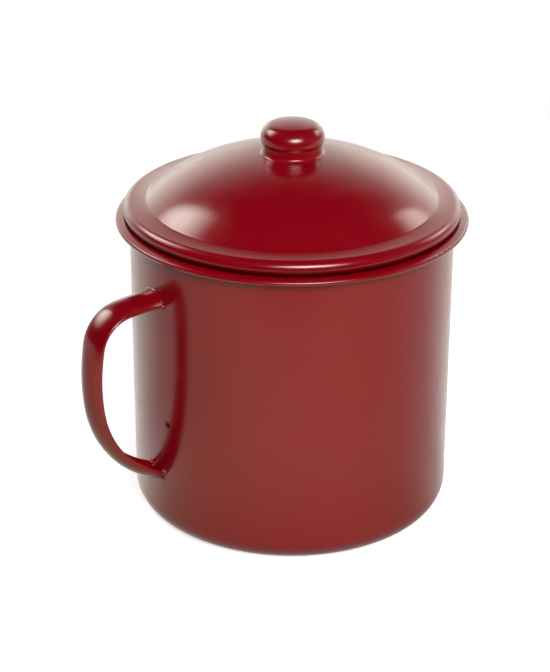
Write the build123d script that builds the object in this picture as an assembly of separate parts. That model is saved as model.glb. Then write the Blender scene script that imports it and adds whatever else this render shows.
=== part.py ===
from build123d import *
import math
import os

# A lidded steel mug that serves as a canister: a deep-drawn cup with a turned-out lip, a strap handle of
# channel section welded to its wall, and a pressed dome lid with a rolled edge and a hollow knob.
# Millimetres, +Z up. The origin is the centre of the base, in the plane of the standing ring.
# The handle points along -X.

# Cup
body_diameter = 120.0
rim_height = 115.4
sheet = 0.8
base_corner_radius = 8.5
base_ring_width = 5.0
base_recess = 1.2
base_step_radius = 4.0
lip_reach = 5.25
lip_slope = 12.5
lip_bend_radius = 2.0
lip_edge_diameter = 2.0

# Lid
lid_sheet = 0.8
lid_overhang = 2.2
lid_edge_radius = 2.95
lid_edge_return = 1.2
lid_shoulder_width = 5.65
lid_shoulder_fall = 0.35
lid_foot_radius = 2.2
dome_height = 17.7
dome_crown_shares = (0.62, 0.68)
dome_foot_shares = (0.965, 0.09)
vent_diameter = 3.0
seat_clearance = 0.2

# Knob
knob_diameter = 23.5
knob_sheet = 0.8
knob_rise = 11.4
knob_neck_height = 3.2
knob_step_height = 1.2
knob_neck_inset = 0.85
knob_crown_share = 0.6
knob_crown_drop = 0.6
knob_shoulder_radius = 5.2
knob_step_radius = 1.4
knob_weld_leg = 1.2
knob_weld_hollow_share = 0.36

# Handle
handle_reach = 29.5
handle_top_drop = 17.3
handle_foot_height = 20.6
handle_start_slope = 0.5
handle_point_shares = ((0.45, 0.013), (0.954, 0.19), (0.974, 0.53))
handle_top_width = 13.0
handle_foot_width = 10.6
handle_depth = 4.3
handle_crown_share = 0.58
handle_corner_radius = 1.2
handle_sheet = 0.9
weld_bead_radius = 0.75
weld_tip_radius = 1.1

# Cutting tools reach this far past what they cut, and the strap this far into the wall before its trim.
overrun = 4.0

# Cup lines, worked out from the sizes above
body_radius = body_diameter / 2
wall_middle = body_radius - sheet / 2
lip_edge_radius = lip_edge_diameter / 2
lip_angle = math.radians(lip_slope)
lip_up = Vector(math.sin(lip_angle), math.cos(lip_angle))
bend_centre = Vector(body_radius + lip_bend_radius, rim_height - sheet - lip_bend_radius)
bend_seat_radius = lip_bend_radius + sheet

# Lid lines: the rolled edge sits in the inner bend of the lip
edge_centre_radius = body_radius + lid_overhang - lid_edge_radius
seat_reach = bend_seat_radius + lid_edge_radius + seat_clearance
seat_offset = bend_centre.X - edge_centre_radius
edge_centre = Vector(edge_centre_radius, bend_centre.Y + math.sqrt(seat_reach**2 - seat_offset**2))
shoulder_slope = math.atan(lid_shoulder_fall / lid_shoulder_width)
dome_radius = edge_centre_radius - lid_shoulder_width
lid_shoulder_height = edge_centre.Y + lid_edge_radius / math.cos(shoulder_slope) + lid_shoulder_fall
dome_apex = lid_shoulder_height + dome_height

# Handle lines: the strap's crest runs in the plane of the handle, drawn as distance out and height
handle_top = rim_height - handle_top_drop
handle_drop = handle_top - handle_foot_height
handle_plane = Plane(origin=(0, 0, 0), x_dir=(-1, 0, 0), z_dir=(0, 1, 0))


def revolved(section):
    """Turn a section drawn as radius and height about the upright axis."""
    return revolve(Plane.XZ * section, axis=Axis.Z)


def make_cup_shell():
    """Base panel, standing ring, base corner, straight wall and sloping lip, with the lip's edge rolled under."""
    ring_outer = body_radius - base_corner_radius
    ring_inner = ring_outer - base_ring_width
    step_slope = math.acos(1 - base_recess / (2 * base_step_radius))
    step_corner = ring_inner - base_step_radius * math.tan(step_slope / 2)
    panel_corner = step_corner - base_recess / math.tan(step_slope)
    corner = base_corner_radius - sheet / 2
    bend = lip_bend_radius + sheet / 2
    lip_start = bend_centre + lip_up * bend
    lip_end = body_radius + lip_reach - lip_edge_radius
    lip_corner_height = lip_start.Y + (lip_start.X - wall_middle) * math.tan(lip_angle)
    lip_end_height = lip_start.Y - (lip_end - lip_start.X) * math.tan(lip_angle)
    middle = FilletPolyline(
        (0, base_recess + sheet / 2),
        (panel_corner, base_recess + sheet / 2),
        (step_corner, sheet / 2),
        (wall_middle, sheet / 2),
        (wall_middle, lip_corner_height),
        (lip_end, lip_end_height),
        radius=[base_step_radius, base_step_radius, corner, bend],
    )
    lip_edge_centre = Vector(lip_end, lip_end_height) - lip_up * (lip_edge_radius - sheet / 2)
    return revolved(trace(middle, sheet) + Pos(lip_edge_centre) * Circle(lip_edge_radius))


def dome_arcs():
    """Middle line of the dome: a flat crown arc from the axis, then a rounder arc down to the foot."""
    apex = Vector(0, dome_apex - lid_sheet / 2)
    base = lid_shoulder_height - lid_sheet / 2
    crown_end = Vector(dome_radius * dome_crown_shares[0], base + dome_height * dome_crown_shares[1])
    foot_start = Vector(dome_radius * dome_foot_shares[0], base + dome_height * dome_foot_shares[1])
    crown = TangentArc(apex, crown_end, tangent=(1, 0))
    haunch = TangentArc(crown_end, foot_start, tangent=crown % 1)
    return crown, haunch


def make_lid_shell():
    """Dome, foot fillet, sloping shoulder and rolled edge as one sheet, with the vent that the knob hides."""
    crown, haunch = dome_arcs()
    foot_start = haunch @ 1
    fall = haunch % 1
    roll = lid_edge_radius - lid_sheet / 2
    shoulder_up = Vector(math.sin(shoulder_slope), math.cos(shoulder_slope))
    shoulder_end = edge_centre + shoulder_up * roll
    foot = foot_start + fall * ((shoulder_end - foot_start).dot(shoulder_up) / fall.dot(shoulder_up))
    shoulder = FilletPolyline(foot_start, foot, shoulder_end, radius=lid_foot_radius + lid_sheet / 2)
    bottom = edge_centre - Vector(0, roll)
    edge = ThreePointArc(shoulder_end, edge_centre + Vector(roll, 0), bottom)
    edge_return = Line(bottom, bottom - Vector(lid_edge_return, 0))
    section = trace([crown, haunch, shoulder, edge, edge_return], lid_sheet)
    vent = Pos(0, 0, dome_apex) * Cylinder(vent_diameter / 2, 2 * overrun)
    return revolved(section) - vent


def crown_ball():
    """Ball whose surface is the upper face of the dome's crown."""
    crown, _ = dome_arcs()
    centre = crown.arc_center
    return Pos(0, 0, centre.Y) * Sphere(crown.radius + lid_sheet / 2)


def make_knob_shell():
    """Hollow pressed knob, open below: crowned cap, soft shoulder, shallow step and neck."""
    radius = knob_diameter / 2 - knob_sheet / 2
    neck = radius - knob_neck_inset
    top = dome_apex + knob_rise - knob_sheet / 2
    step = dome_apex + knob_neck_height
    crown = TangentArc((0, top), (radius * knob_crown_share, top - knob_crown_drop), tangent=(1, 0))
    crown_end = crown @ 1
    fall = crown % 1
    skirt = FilletPolyline(
        crown_end,
        crown_end + fall * ((radius - crown_end.X) / fall.X),
        (radius, step + knob_step_height),
        (neck, step),
        (neck, dome_apex - overrun),
        radius=[knob_shoulder_radius - knob_sheet / 2, knob_step_radius, knob_step_radius],
    )
    return revolved(trace([crown, skirt], knob_sheet)) - crown_ball()


def make_knob_weld_ring():
    """Hollow fillet where the knob's neck meets the dome."""
    neck = knob_diameter / 2 - knob_neck_inset
    crown, _ = dome_arcs()
    ball = crown.radius + lid_sheet / 2
    centre = crown.arc_center.Y
    seat = centre + math.sqrt(ball**2 - neck**2)
    toe = Vector(neck + knob_weld_leg, centre + math.sqrt(ball**2 - (neck + knob_weld_leg) ** 2))
    head = Vector(neck, seat + knob_weld_leg)
    root = Vector(neck, seat)
    hollow = (toe + head) / 2 + (root - (toe + head) / 2) * knob_weld_hollow_share
    face = make_face(ThreePointArc(head, hollow, toe).edges() + Polyline(toe, (neck, toe.Y), head).edges())
    return revolved(face) - crown_ball()


def handle_path():
    """Crest line of the strap, a chain of tangent arcs that starts and ends inside the wall."""
    inside = body_radius - overrun
    slope = math.radians(handle_start_slope)
    arcs = []
    spot = Vector(inside, handle_top)
    heading = Vector(math.cos(slope), -math.sin(slope))
    for out, down in handle_point_shares:
        corner = Vector(body_radius + out * handle_reach, handle_top - down * handle_drop)
        arcs.append(TangentArc(spot, corner, tangent=heading))
        spot = corner
        heading = arcs[-1] % 1
    arcs.append(TangentArc(spot, (inside, handle_foot_height), tangent=heading))
    return Wire(arcs)


def handle_width(share):
    """Width of the strap at a share of its length from the upper end."""
    return handle_top_width + (handle_foot_width - handle_top_width) * share


def crown_fall(width, across):
    """How far the strap's crowned face falls from its crest at a distance across."""
    radius = width * handle_crown_share
    return radius - math.sqrt(radius**2 - across**2)


def channel_section(width):
    """Channel: crowned face outward, rounded corners, two flanges turned in towards the cup."""
    half_sheet = handle_sheet / 2
    half = width / 2 - half_sheet
    crown_radius = width * handle_crown_share - half_sheet
    corner_radius = handle_corner_radius - half_sheet
    lean = math.asin((half - corner_radius) / (crown_radius - corner_radius))
    crown_centre = -half_sheet - crown_radius
    crown_end = Vector(crown_radius * math.sin(lean), crown_centre + crown_radius * math.cos(lean))
    corner_end = Vector(half, crown_centre + (crown_radius - corner_radius) * math.cos(lean))
    crown = ThreePointArc((-crown_end.X, crown_end.Y), (0, -half_sheet), crown_end)
    corner = TangentArc(crown_end, corner_end, tangent=crown % 1)
    flange = Line(corner_end, (half, -handle_depth))
    return trace([mirror(flange, Plane.YZ), mirror(corner, Plane.YZ), crown, corner, flange], handle_sheet)


def wall_core():
    """Solid inside the wall's outer face, which trims what is welded to the wall."""
    return Pos(0, 0, rim_height / 2) * Cylinder(body_radius, rim_height + 2 * overrun)


def make_handle_strap():
    """Tapered channel swept along the crest line and trimmed to the wall at both ends."""
    path = handle_plane * handle_path()
    ends = []
    for share in (0, 1):
        frame = Plane(origin=path @ share, x_dir=(0, -1, 0), z_dir=path % share)
        ends.append(frame * channel_section(handle_width(share)))
    return sweep(ends, path=path, multisection=True) - wall_core()


def wall_point(end, across, depth):
    """Where a line of the strap, given across and below its crest, meets the wall at one of its ends."""
    path = handle_path()
    heading = path % end
    start = path @ end - Vector(-heading.Y, heading.X) * depth
    reach = math.sqrt(body_radius**2 - across**2)
    spot = start + heading * ((reach - start.X) / heading.X)
    return Vector(-spot.X, across, spot.Y)


def make_handle_weld(end, strap):
    """Weld run along the crowned face at one end of the strap, with a dab at each flange tip."""
    width = handle_width(end)
    across = width / 2 - handle_corner_radius
    fall = crown_fall(width, across)
    toes = [wall_point(end, side * across, fall) for side in (-1, 1)]
    run = ThreePointArc(toes[0], wall_point(end, 0, 0), toes[1])
    bead = sweep(Plane(origin=run @ 0, z_dir=run % 0) * Circle(weld_bead_radius), path=run)
    flange = (width - handle_sheet) / 2
    tips = [Pos(wall_point(end, side * flange, handle_depth)) * Sphere(weld_tip_radius) for side in (-1, 1)]
    return Compound(children=[piece - wall_core() - strap for piece in [bead, *tips]])


handle_strap = make_handle_strap()
parts = {
    "cup_shell": make_cup_shell(),
    "handle_strap": handle_strap,
    "upper_handle_weld": make_handle_weld(0, handle_strap),
    "lower_handle_weld": make_handle_weld(1, handle_strap),
    "lid_shell": make_lid_shell(),
    "knob_shell": make_knob_shell(),
    "knob_weld_ring": make_knob_weld_ring(),
}

os.makedirs("parts", exist_ok=True)
for name, shape in parts.items():
    export_step(shape, f"parts/{name}.step")
    print(name, [round(solid.volume, 2) for solid in shape.solids()], shape.is_valid)
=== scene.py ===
"""Looks of a lidded red enamelled steel mug: the enamel on each piece, a white studio and a camera."""

import math

import bpy
from mathutils import Matrix, Vector

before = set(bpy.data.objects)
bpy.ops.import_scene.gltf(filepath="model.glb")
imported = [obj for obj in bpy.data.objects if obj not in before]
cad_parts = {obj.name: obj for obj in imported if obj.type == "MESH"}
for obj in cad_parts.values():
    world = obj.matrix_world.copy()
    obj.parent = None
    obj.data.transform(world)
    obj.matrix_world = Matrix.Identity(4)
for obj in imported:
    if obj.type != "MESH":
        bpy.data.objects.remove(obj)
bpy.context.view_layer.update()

MM = 0.001
UP = (0, 0, 1)
WHITE = (1, 1, 1, 1)

# Camera: where it stands round the object and what it looks at, in degrees and metres
camera_azimuth = -34.0
camera_elevation = 25.03
camera_roll = 0.207
camera_distance = 757.6 * MM
target_right = -6.12 * MM
target_height = 64.46 * MM
lens_mm = 106.75
sensor_mm = 36.0

# Studio lamps: turn to the right from the camera's side and elevation in degrees, distance, width and height
# in metres, and radiance where brightest. A softbox at the side also leans, in degrees, and has its brightest
# place off centre, from -1 to 1 across its width.
lamps = {
    "left_softbox": dict(
        turn=-111.5, elevation=34.8, distance=1.2, width=0.95, height=0.9, radiance=8.7,
        lean=-27.0, brightest=-0.56,
    ),
    "front_softbox": dict(turn=12.0, elevation=31.5, distance=1.2, width=1.2, height=0.75, radiance=20.5),
    "right_softbox": dict(
        turn=116.5, elevation=24.5, distance=1.2, width=0.83, height=0.72, radiance=4.5,
        lean=32.0, brightest=0.72,
    ),
    "left_backdrop_lamp": dict(turn=-152.0, elevation=8.0, distance=2.2, width=2.4, height=2.3, radiance=0.9),
    "right_backdrop_lamp": dict(turn=152.0, elevation=8.0, distance=2.2, width=2.4, height=2.3, radiance=0.9),
}
lamp_colour = (1.0, 0.99, 0.89)
lamp_target_height = 100.0 * MM

# Room that the enamel mirrors, in shares of white. A panel fades between two angles at its sides and at its
# top, in degrees from its middle and from the floor.
backdrop_turn = 180.0
backdrop_sides = (74.0, 36.0)
backdrop_top = (20.0, 60.0)
backdrop_share = 1.0
side_wall_turn = 92.0
side_wall_sides = (50.0, 15.0)
side_wall_top = (10.0, 45.0)
side_wall_share = 0.2
room_share = 0.01

# Fill light from the room: the turn and elevation that it comes from, the cosines between which it grows, and
# its shares of white there
fill_direction = (75.0, 20.0)
fill_spread = (-0.2, 1.0)
fill_shares = (0.02, 0.28)

# Floor as the camera sees it: lit paper that turns to plain white further out, in metres
floor_half = 6.0
floor_drop = 0.02 * MM
floor_paper = (0.7, 0.71, 0.79, 1.0)
floor_lift = 0.62
floor_white_reach = (0.16, 0.5)

# Floor as it lights the object from below
floor_bounce = (0.22, 0.22, 0.22, 1.0)

# Floor as the enamel mirrors it: colours, and shares of white that change over a distance from the object in
# metres, or over a turn given as its cosine to the front or to the right
mirror_front_colour = (1.0, 0.96, 0.66, 1.0)
mirror_back_colour = (1.0, 0.95, 0.89, 1.0)
mirror_front_turn = (-0.1, 0.7)
mirror_base_colour = (1.0, 0.9, 0.86, 1.0)
mirror_base_colour_reach = (0.06, 0.073)
mirror_base_share = 0.6
mirror_base_reach = (0.06, 0.14)
mirror_far_share = 0.03
mirror_far_reach = (0.24, 0.42)
mirror_side_share = 0.72
mirror_side_turn = (0.35, 1.0)
mirror_side_front_turn = (-0.5, 0.0)
mirror_side_reach = (0.085, 0.15)
mirror_side_right_turn = (-0.2, 0.2)

# Enamel colours: two reds between which each piece varies
cup_reds = ((0.235, 0.0002, 0.0065, 1.0), (0.214, 0.0001, 0.0057, 1.0))
lid_reds = ((0.224, 0.0001, 0.0064, 1.0), (0.206, 0.0001, 0.0057, 1.0))
# The weld ring's reds are lighter than the lid's: a painted sheen in place of the highlights that its duller
# glaze loses
ring_reds_painted_sheen = ((0.27, 0.0015, 0.0085, 1.0), (0.25, 0.0012, 0.0078, 1.0))
# The strap's reds are darker than the cup's: painted shade on the strap's side, which the lamps light less
strap_reds_painted_shade = ((0.2, 0.0002, 0.0056, 1.0), (0.182, 0.0001, 0.0048, 1.0))
cloud_scale = 45.0
cloud_detail = 3.0

# Enamel gloss: a satin body under a glaze, and how far the glaze goes where the enamel is dull
enamel_ior = 1.5
body_roughness = (0.2, 0.27)
body_specular = 0.3
gloss_scale = 120.0
gloss_range = (0.3, 0.7)
glaze_weight = 0.6
dull_glaze_weight = 0.1
cup_glaze_roughness = 0.18
lid_glaze_roughness = 0.062
strap_glaze_roughness = 0.07
ring_dullness = 0.35

# Enamel surface: a slow wave and a fine orange peel
wave_scale = 55.0
wave_strength = 0.12
wave_depth = 0.25 * MM
peel_scale = 700.0
peel_strength = 0.04
peel_depth = 0.1 * MM

# Dark specks all over, and one chip on the cup inside the handle
speck_colour = (0.03, 0.0008, 0.0015, 1.0)
speck_spacing = 17.0 * MM
speck_radii = (0.15 * MM, 0.3 * MM)
chip_place = (-59.55 * MM, -7.31 * MM, 46.7 * MM)
chip_colour = (0.085, 0.0006, 0.004, 1.0)
chip_reach = (1.8 * MM, 2.7 * MM)
chip_raggedness = 1.8 * MM
chip_grain_scale = 1500.0

# Strap: its crown is shaded flatter at the bend, above the lower height and outside the inner reach
strap_flat_share = 0.62
strap_flat_heights = (76.0 * MM, 88.0 * MM)
strap_flat_reach = (-80.0 * MM, -73.0 * MM)

# Lid: distances from its axis and slopes, as outward over upward, of an even fold at the dome's foot and of
# the shoulder outside it, how far up the normals of its upper side point, and the heights over which painted
# shade darkens the underside of its rolled edge
dome_foot_inside = (52.0 * MM, 53.0 * MM)
dome_foot_reach = (53.1 * MM, 54.5 * MM)
dome_foot_slope = 0.82
shoulder_slopes = (0.22, 0.14)
shoulder_outside = (58.0 * MM, 60.0 * MM)
upper_side = (0.2, 0.5)
# Painted shade under the lid's rolled edge: the heights over which it fades out, and its dark colour
painted_shade_heights = (116.4 * MM, 118.8 * MM)
painted_shade_colour = (0.11, 0.0004, 0.0015, 1.0)

# Knob: the glaze is rougher on the dome round its foot, and the step over its neck is shaded softer
knob_foot_heights = (138.6 * MM, 139.4 * MM)
knob_foot_reach = (14.0 * MM, 26.0 * MM)
knob_foot_roughness = 0.16
knob_step_heights = (140.5 * MM, 141.5 * MM)
knob_step_softness = 0.7


def studio_direction(turn, elevation):
    """Unit vector from the object towards a place in the studio, turned right from the camera's side."""
    a = math.radians(camera_azimuth + turn)
    e = math.radians(elevation)
    return Vector((math.sin(a) * math.cos(e), -math.cos(a) * math.cos(e), math.sin(e)))


def look_along(back, roll=0.0):
    """Rotation of a camera or lamp whose back faces the given direction, level before the roll."""
    right = Vector(UP).cross(back).normalized()
    up = back.cross(right)
    r = math.radians(roll)
    rolled_right = right * math.cos(r) + up * math.sin(r)
    rolled_up = up * math.cos(r) - right * math.sin(r)
    return Matrix((rolled_right, rolled_up, back)).transposed().to_4x4()


class Tree:
    """Short calls for building one node tree."""

    def __init__(self, tree):
        self.tree = tree
        tree.nodes.clear()

    def node(self, kind, inputs=(), **settings):
        """New node with its settings, and with a link or a plain value on each named input."""
        made = self.tree.nodes.new(kind)
        for key, value in settings.items():
            setattr(made, key, value)
        for socket, value in dict(inputs).items():
            if isinstance(value, bpy.types.NodeSocket):
                self.tree.links.new(value, made.inputs[socket])
            else:
                made.inputs[socket].default_value = value
        return made

    def math(self, operation, *values):
        return self.node("ShaderNodeMath", dict(enumerate(values)), operation=operation).outputs[0]

    def vector(self, operation, *values):
        return self.node("ShaderNodeVectorMath", dict(enumerate(values)), operation=operation).outputs[0]

    def measure(self, operation, *values):
        """Number that a vector operation gives, such as a length, a distance or a dot product."""
        made = self.node("ShaderNodeVectorMath", dict(enumerate(values)), operation=operation)
        return made.outputs["Value"]

    def dot(self, vector, direction):
        return self.measure("DOT_PRODUCT", vector, tuple(direction))

    def scaled(self, vector, amount):
        return self.node("ShaderNodeVectorMath", {0: vector, "Scale": amount}, operation="SCALE").outputs[0]

    def mix(self, factor, a, b, kind="RGBA"):
        sockets = {"Factor": factor, "A": a, "B": b}
        return self.node("ShaderNodeMix", sockets, data_type=kind).outputs["Result"]

    def mix_shaders(self, factor, a, b):
        return self.node("ShaderNodeMixShader", {0: factor, 1: a, 2: b}).outputs[0]

    def glow(self, colour, strength):
        return self.node("ShaderNodeEmission", {"Color": colour, "Strength": strength}).outputs[0]

    def matt(self, colour):
        return self.node("ShaderNodeBsdfDiffuse", {"Color": colour}).outputs[0]

    def bump(self, normal, height, strength, depth):
        sockets = {"Normal": normal, "Height": height, "Strength": strength, "Distance": depth}
        return self.node("ShaderNodeBump", sockets).outputs[0]

    def noise(self, vector, scale, detail=2.0):
        sockets = {"Vector": vector, "Scale": scale, "Detail": detail}
        return self.node("ShaderNodeTexNoise", sockets).outputs["Fac"]

    def fade(self, value, start, end, low=0.0, high=1.0):
        """Smooth step of a value from low at start to high at end."""
        sockets = {"Value": value, "From Min": start, "From Max": end, "To Min": low, "To Max": high}
        return self.node("ShaderNodeMapRange", sockets, interpolation_type="SMOOTHSTEP").outputs["Result"]

    def rays(self):
        """Masks of the rays that leave the camera, and of those that a glossy or clear surface sends on."""
        path = self.node("ShaderNodeLightPath").outputs
        mirrored = self.math("MAXIMUM", path["Is Glossy Ray"], path["Is Transmission Ray"])
        return path["Is Camera Ray"], mirrored


def make_camera():
    """Camera that looks down on the mug from in front, turned towards the handle's side."""
    back = studio_direction(0.0, camera_elevation)
    right = Vector(UP).cross(back).normalized()
    target = right * target_right + Vector(UP) * target_height
    camera = bpy.data.objects.new("camera", bpy.data.cameras.new("camera"))
    camera.data.sensor_width = sensor_mm
    camera.data.lens = lens_mm
    camera.matrix_world = Matrix.Translation(target + back * camera_distance) @ look_along(back, camera_roll)
    bpy.context.scene.collection.objects.link(camera)
    bpy.context.scene.camera = camera


def make_lamp(name, turn, elevation, distance, width, height, radiance, lean=0.0, brightest=0.0):
    """Soft light that faces the object, and fades from its brightest place to nothing at its oval edge."""
    data = bpy.data.lights.new(name, "AREA")
    data.shape = "RECTANGLE"
    data.size = width
    data.size_y = height
    data.energy = radiance * math.pi * width * height
    data.color = lamp_colour
    data.use_nodes = True
    t = Tree(data.node_tree)
    spot = t.node("ShaderNodeNewGeometry").outputs["Parametric"]
    place = t.vector("MULTIPLY_ADD", spot, (2, 2, 0), (-1 - brightest, -1, 0))
    across, along, _ = t.node("ShaderNodeSeparateXYZ", {0: place}).outputs
    half_width = t.math("MULTIPLY_ADD", t.math("SIGN", across), -brightest, 1.0)
    across_share = t.math("DIVIDE", across, half_width)
    squared = t.math("MULTIPLY_ADD", across_share, across_share, t.math("MULTIPLY", along, along))
    rest = t.math("MAXIMUM", t.math("SUBTRACT", 1.0, squared), 0.0)
    emission = t.node("ShaderNodeEmission", {"Strength": t.math("MULTIPLY", rest, rest)})
    t.node("ShaderNodeOutputLight", {"Surface": emission.outputs[0]})
    lamp = bpy.data.objects.new(name, data)
    back = studio_direction(turn, elevation)
    stand = back * distance + Vector(UP) * lamp_target_height
    lamp.matrix_world = Matrix.Translation(stand) @ look_along(back, lean)
    bpy.context.scene.collection.objects.link(lamp)


def make_world():
    """White backdrop behind the object and a dim side wall, in a dark room. The camera sees only white."""
    world = bpy.data.worlds.new("studio")
    bpy.context.scene.world = world
    world.use_nodes = True
    t = Tree(world.node_tree)
    direction = t.node("ShaderNodeTexCoord").outputs["Generated"]
    rise = t.dot(direction, UP)

    def panel(turn, sides, top, share):
        """Glow round one direction, that fades at its sides and its top."""
        towards = t.dot(direction, studio_direction(turn, 0.0))
        between_sides = t.fade(towards, *[math.cos(math.radians(a)) for a in sides])
        below_top = t.fade(rise, *[math.sin(math.radians(e)) for e in top], share, 0.0)
        return t.math("MULTIPLY", between_sides, below_top)

    backdrop = panel(backdrop_turn, backdrop_sides, backdrop_top, backdrop_share)
    side_wall = panel(side_wall_turn, side_wall_sides, side_wall_top, side_wall_share)
    room = t.math("MAXIMUM", t.math("MAXIMUM", backdrop, side_wall), room_share)
    fill = t.fade(t.dot(direction, studio_direction(*fill_direction)), *fill_spread, *fill_shares)
    from_camera, mirrored = t.rays()
    strength = t.math("MAXIMUM", t.mix(mirrored, fill, room, "FLOAT"), from_camera)
    colour = t.mix(from_camera, (*lamp_colour, 1.0), WHITE)
    background = t.node("ShaderNodeBackground", {"Color": colour, "Strength": strength})
    t.node("ShaderNodeOutputWorld", {"Surface": background.outputs[0]})


def mirrored_floor(t, place, reach):
    """The floor that the enamel mirrors: dimmer by the base in front, at the sides and far out in front."""
    front = studio_direction(0.0, 0.0)
    heading = t.vector("NORMALIZE", place)
    facing = t.dot(heading, front)
    sideways = t.dot(heading, studio_direction(90.0, 0.0))
    frontal = t.fade(facing, *mirror_front_turn)
    near = t.fade(reach, *mirror_base_reach, t.fade(frontal, 0.0, 1.0, 1.0, mirror_base_share), 1.0)
    far = t.fade(t.dot(place, front), *mirror_far_reach, 1.0, mirror_far_share)
    # Close to the base, only the right side is dimmer
    side_share = t.fade(facing, *mirror_side_front_turn, 1.0, mirror_side_share)
    both_sides = t.fade(t.math("ABSOLUTE", sideways), *mirror_side_turn, 1.0, side_share)
    right_side = t.fade(sideways, *mirror_side_right_turn, 1.0, both_sides)
    side = t.fade(reach, *mirror_side_reach, right_side, both_sides)
    colour = t.mix(frontal, mirror_back_colour, mirror_front_colour)
    colour = t.mix(t.fade(reach, *mirror_base_colour_reach), mirror_base_colour, colour)
    return t.glow(colour, t.math("MULTIPLY", t.math("MULTIPLY", near, far), side))


def floor_material():
    """White paper: it takes the object's shadow close by, and turns to plain white further out."""
    material = bpy.data.materials.new("white_floor")
    material.use_nodes = True
    t = Tree(material.node_tree)
    place = t.node("ShaderNodeTexCoord").outputs["Object"]
    reach = t.measure("LENGTH", place)
    lit_paper = t.node("ShaderNodeAddShader", {0: t.matt(floor_paper), 1: t.glow(WHITE, floor_lift)})
    shown = t.mix_shaders(t.fade(reach, *floor_white_reach), lit_paper.outputs[0], t.glow(WHITE, 1.0))
    from_camera, mirrored = t.rays()
    unseen = t.mix_shaders(mirrored, t.matt(floor_bounce), mirrored_floor(t, place, reach))
    t.node("ShaderNodeOutputMaterial", {"Surface": t.mix_shaders(from_camera, unseen, shown)})
    return material


def make_floor():
    """Square of paper just under the mug."""
    mesh = bpy.data.meshes.new("floor")
    corners = [(x * floor_half, y * floor_half, -floor_drop) for x, y in ((-1, -1), (1, -1), (1, 1), (-1, 1))]
    mesh.from_pydata(corners, [], [(0, 1, 2, 3)])
    mesh.materials.append(floor_material())
    floor = bpy.data.objects.new("floor", mesh)
    bpy.context.scene.collection.objects.link(floor)


class Enamel:
    """Red enamel in the making: a satin body under a glaze, slightly uneven and specked."""

    def __init__(self, name, reds, glaze_roughness, dullness=0.0):
        self.material = bpy.data.materials.new(name)
        self.material.use_nodes = True
        self.tree = Tree(self.material.node_tree)
        t = self.tree
        self.place = t.node("ShaderNodeTexCoord").outputs["Object"]
        self.along, _, self.height = t.node("ShaderNodeSeparateXYZ", {0: self.place}).outputs
        self.normal = t.node("ShaderNodeNewGeometry").outputs["Normal"]
        cells = t.node("ShaderNodeTexVoronoi", {"Vector": self.place, "Scale": 1 / speck_spacing})
        from_speck = cells.outputs["Distance"]
        speck_shares = [radius / speck_spacing for radius in speck_radii]
        tone = t.mix(t.noise(self.place, cloud_scale, cloud_detail), *reds)
        self.colour = t.mix(t.fade(from_speck, *speck_shares, 1.0, 0.0), tone, speck_colour)
        self.dull = t.fade(from_speck, *speck_shares, 1.0, dullness)
        self.glaze_roughness = glaze_roughness

    def stain_or_painted_shade(self, mask, colour):
        """Give a masked place another colour, and take its gloss away: a chip, or painted shade."""
        self.colour = self.tree.mix(mask, self.colour, colour)
        self.dull = self.tree.math("MAXIMUM", self.dull, mask)

    def finished(self):
        """The material, with its surface and its shader."""
        t = self.tree
        wave = t.bump(self.normal, t.noise(self.place, wave_scale), wave_strength, wave_depth)
        peel = t.bump(wave, t.noise(self.place, peel_scale), peel_strength, peel_depth)
        sockets = {
            "Base Color": self.colour,
            "Roughness": t.fade(t.noise(self.place, gloss_scale), *gloss_range, *body_roughness),
            "IOR": enamel_ior,
            "Specular IOR Level": t.fade(self.dull, 0.0, 1.0, body_specular, 0.0),
            "Coat Weight": t.fade(self.dull, 0.0, 1.0, glaze_weight, dull_glaze_weight),
            "Coat Roughness": self.glaze_roughness,
            "Coat IOR": enamel_ior,
            "Normal": peel,
            "Coat Normal": peel,
        }
        shader = t.node("ShaderNodeBsdfPrincipled", sockets)
        t.node("ShaderNodeOutputMaterial", {"Surface": shader.outputs[0]})
        return self.material


def cup_enamel():
    """Enamel of the cup, with one ragged chip."""
    enamel = Enamel("cup_enamel", cup_reds, cup_glaze_roughness)
    t = enamel.tree
    gap = t.measure("DISTANCE", enamel.place, chip_place)
    ragged = t.math("MULTIPLY_ADD", t.noise(enamel.place, chip_grain_scale), chip_raggedness, gap)
    enamel.stain_or_painted_shade(t.fade(ragged, *chip_reach, 1.0, 0.0), chip_colour)
    return enamel.finished()


def strap_enamel():
    """Enamel of the strap and its welds, darker as painted shade, with the strap's crown shaded flatter at
    the bend.
    """
    # Painted shade: the strap and its welds take darker reds than the cup
    enamel = Enamel("strap_enamel", strap_reds_painted_shade, strap_glaze_roughness)
    t = enamel.tree
    flatness = t.fade(enamel.height, *strap_flat_heights, 0.0, strap_flat_share)
    flatness = t.fade(enamel.along, *strap_flat_reach, flatness, 0.0)
    across = t.math("MULTIPLY", t.dot(enamel.normal, (0, -1, 0)), flatness)
    flatter = t.vector("ADD", enamel.normal, t.scaled((0, 1, 0), across))
    enamel.normal = t.vector("NORMALIZE", flatter)
    return enamel.finished()


def knob_normal(t, normal, height):
    """Normals of the knob, which hang less under its step, as where a thick coat rounds it."""
    hang = t.math("MINIMUM", t.dot(normal, UP), 0.0)
    lift = t.math("MULTIPLY", hang, t.fade(height, *knob_step_heights, 0.0, -knob_step_softness))
    return t.vector("ADD", normal, t.scaled(UP, lift))


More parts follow.
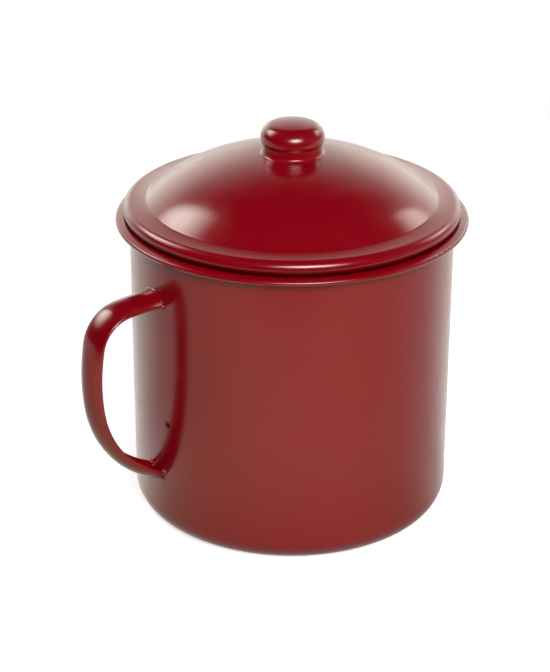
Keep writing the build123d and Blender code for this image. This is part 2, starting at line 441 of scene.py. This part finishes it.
def shoulder_normal(t, outward, reach):
    """Normals of an even fold at the dome's foot and of a slightly leaning shoulder outside it."""
    shoulder = t.fade(reach, dome_foot_reach[1], shoulder_outside[0], *shoulder_slopes)
    slope = t.fade(reach, *dome_foot_reach, dome_foot_slope, shoulder)
    tilt = t.scaled(t.vector("NORMALIZE", outward), slope)
    return t.vector("NORMALIZE", t.vector("ADD", tilt, UP))


def lid_enamel():
    """Enamel of the lid and its knob, with painted shade under the lid's rolled edge, rougher round the
    knob's foot.
    """
    enamel = Enamel("lid_enamel", lid_reds, lid_glaze_roughness)
    t = enamel.tree
    # Painted shade: the underside of the rolled edge, where shade falls over the lip, is darkened and its
    # gloss taken away
    enamel.stain_or_painted_shade(t.fade(enamel.height, *painted_shade_heights, 1.0, 0.0), painted_shade_colour)
    outward = t.vector("MULTIPLY", enamel.place, (1, 1, 0))
    reach = t.measure("LENGTH", outward)
    on_top = t.fade(t.dot(enamel.normal, UP), *upper_side)
    on_shoulder = t.fade(reach, *shoulder_outside, t.fade(reach, *dome_foot_inside, 0.0, on_top), 0.0)
    knob = knob_normal(t, enamel.normal, enamel.height)
    blend = t.mix(on_shoulder, knob, shoulder_normal(t, outward, reach), "VECTOR")
    enamel.normal = t.vector("NORMALIZE", blend)
    on_dome = t.fade(enamel.height, *knob_foot_heights, knob_foot_roughness, 0.0)
    by_knob = t.fade(reach, *knob_foot_reach, on_dome, 0.0)
    enamel.glaze_roughness = t.math("ADD", lid_glaze_roughness, by_knob)
    return enamel.finished()


def dress_nodes():
    """Enamel on every piece. The knob has the lid's, and the handle's welds have the strap's."""
    lid = lid_enamel()
    strap = strap_enamel()
    enamels = {
        "cup_shell": cup_enamel(),
        "handle_strap": strap,
        "upper_handle_weld": strap,
        "lower_handle_weld": strap,
        "lid_shell": lid,
        "knob_shell": lid,
        # The weld ring's lighter reds are a painted sheen
        "knob_weld_ring": Enamel("ring_enamel", ring_reds_painted_sheen, lid_glaze_roughness, ring_dullness).finished(),
    }
    for name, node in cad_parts.items():
        node.data.materials.clear()
        node.data.materials.append(enamels[name])


make_camera()
make_world()
make_floor()
for lamp_name, values in lamps.items():
    make_lamp(lamp_name, **values)
dress_nodes()

bpy.context.scene.view_settings.view_transform = "Standard"
